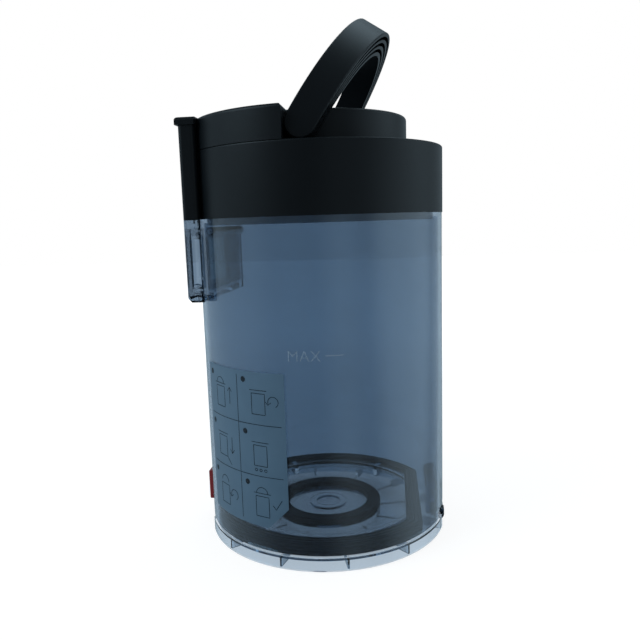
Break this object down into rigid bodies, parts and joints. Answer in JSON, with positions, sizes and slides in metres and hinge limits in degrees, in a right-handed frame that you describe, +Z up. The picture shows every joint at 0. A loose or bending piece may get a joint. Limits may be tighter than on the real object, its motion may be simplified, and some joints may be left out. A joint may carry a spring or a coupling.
{
  "type": "docking station dust bin",
  "caption": "Clear cylindrical dust bin with a black collar and cover, folding bail handle, flat docking back with air ports, and a latched bottom door.",
  "frame": {"origin": "on the floor under the tube axis, at the bottom edge of the closed door", "axes": "+Z up along the tube axis, flat docking back towards -X, door hinge towards +X, handle pivot along Y"},
  "size_m": [0.1598, 0.1572, 0.3201],
  "materials": {
    "clear_smoke": "clear smoke-blue moulded plastic, polished",
    "black_plastic": "black moulded plastic, satin",
    "pin_steel": "bright steel",
    "screen_steel": "stainless screen",
    "black_rubber": "soft black rubber",
    "grey_rubber": "light grey silicone",
    "red_plastic": "dark red moulded plastic",
    "filter_paper": "pleated filter paper",
    "label_film": "thin translucent grey film"
  },
  "bodies": {
    "bin": {"dust_cup": "clear_smoke", "collar_ring": "black_plastic", "top_cover": "black_plastic", "separator_plate": "black_plastic", "filter_frame": "black_plastic", "handle_pin_front": "pin_steel", "handle_pin_rear": "pin_steel", "door_hinge_pin": "pin_steel", "latch_pin": "pin_steel", "flap_pin": "pin_steel", "cover_screws": "pin_steel", "separator_screws": "pin_steel", "latch_spring": "pin_steel", "mesh_screen": "screen_steel", "inlet_gasket": "grey_rubber", "outlet_gasket": "black_rubber", "filter_seal": "black_rubber", "collar_seal": "grey_rubber", "filter_media": "filter_paper", "instruction_label": "label_film"},
    "handle": {"handle": "black_plastic"},
    "door": {"bottom_door": "clear_smoke", "door_seal": "black_rubber", "centre_seal": "black_rubber"},
    "latch": {"latch_button": "red_plastic"},
    "flap": {"inlet_flap": "clear_smoke"}
  },
  "joints": [
    {"name": "handle_fold", "type": "hinge", "parent": "bin", "child": "handle", "pos_m": [0, 0, 0.2533], "axis": [0, 1, 0], "range_deg": [-32.5, 57.5]},
    {"name": "door_hinge", "type": "hinge", "parent": "bin", "child": "door", "pos_m": [0.074, 0, 0.0085], "axis": [0, -1, 0], "range_deg": [0, 95]},
    {"name": "latch_press", "type": "hinge", "parent": "bin", "child": "latch", "pos_m": [-0.0744, 0, 0.02], "axis": [0, 1, 0], "range_deg": [0, 8], "stiffness_Nm_per_rad": 0.1, "springref_deg": -2.86, "deforming": ["latch_spring"]},
    {"name": "flap_swing", "type": "hinge", "parent": "bin", "child": "flap", "pos_m": [-0.0629, 0, 0.1964], "axis": [0, -1, 0], "range_deg": [0, 60], "stiffness_Nm_per_rad": 0.003, "springref_deg": -11.46}
  ]
}
